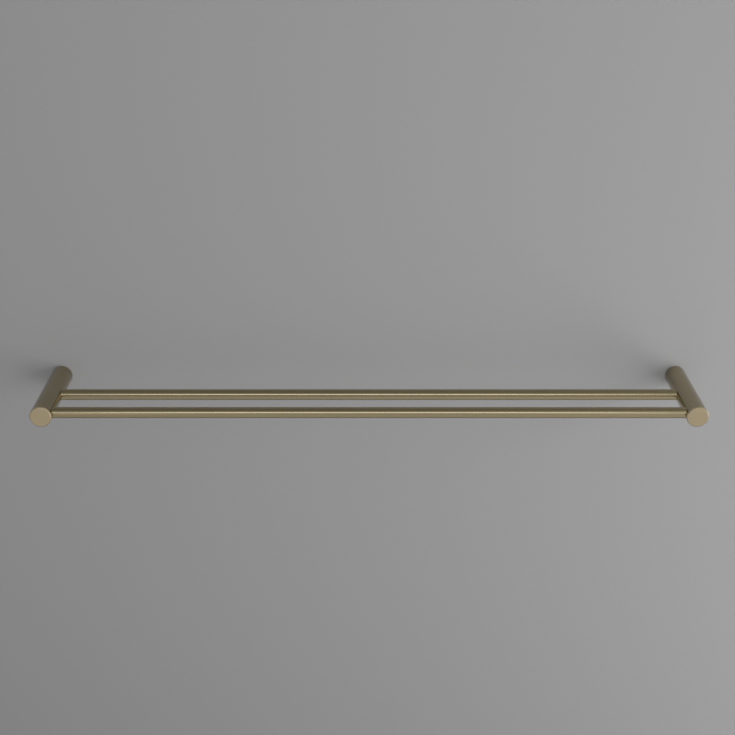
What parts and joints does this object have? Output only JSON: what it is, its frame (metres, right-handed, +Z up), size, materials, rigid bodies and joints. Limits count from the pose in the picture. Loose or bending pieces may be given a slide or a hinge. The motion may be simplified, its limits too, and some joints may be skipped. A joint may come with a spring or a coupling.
{
  "type": "towel rack",
  "caption": "Wall-mounted towel rack: round bars, one in front of the other, run between round posts that hide wall bosses, bar carriers and set screws.",
  "frame": {"origin": "on the wall plane, halfway between the two wall screw holes, which lie on the post axes", "axes": "+X along the bars, towards the right post as seen from the room; +Y into the wall; +Z up"},
  "size_m": [0.775, 0.12, 0.025],
  "materials": {
    "satin_brass_posts": "satin brushed, dark champagne brass",
    "satin_brass_caps": "satin, turned face",
    "satin_brass_bars": "satin, fine grain round the bar",
    "carrier_aluminium": "turned, bare",
    "plug_aluminium": "turned, bare",
    "boss_brass": "turned, raw",
    "set_screw_steel": "stainless, as machined"
  },
  "bodies": {
    "root": {"left_post": "satin_brass_posts", "right_post": "satin_brass_posts", "left_end_cap": "satin_brass_caps", "right_end_cap": "satin_brass_caps", "left_bar_carrier": "carrier_aluminium", "right_bar_carrier": "carrier_aluminium", "left_wall_boss": "boss_brass", "right_wall_boss": "boss_brass", "left_lock_screw": "set_screw_steel", "right_lock_screw": "set_screw_steel", "rear_bar": "satin_brass_bars", "front_bar": "satin_brass_bars", "left_rear_bar_plug": "plug_aluminium", "left_front_bar_plug": "plug_aluminium", "right_rear_bar_plug": "plug_aluminium", "right_front_bar_plug": "plug_aluminium", "left_rear_bar_screw": "set_screw_steel", "left_front_bar_screw": "set_screw_steel", "right_rear_bar_screw": "set_screw_steel", "right_front_bar_screw": "set_screw_steel"}
  },
  "joints": []
}
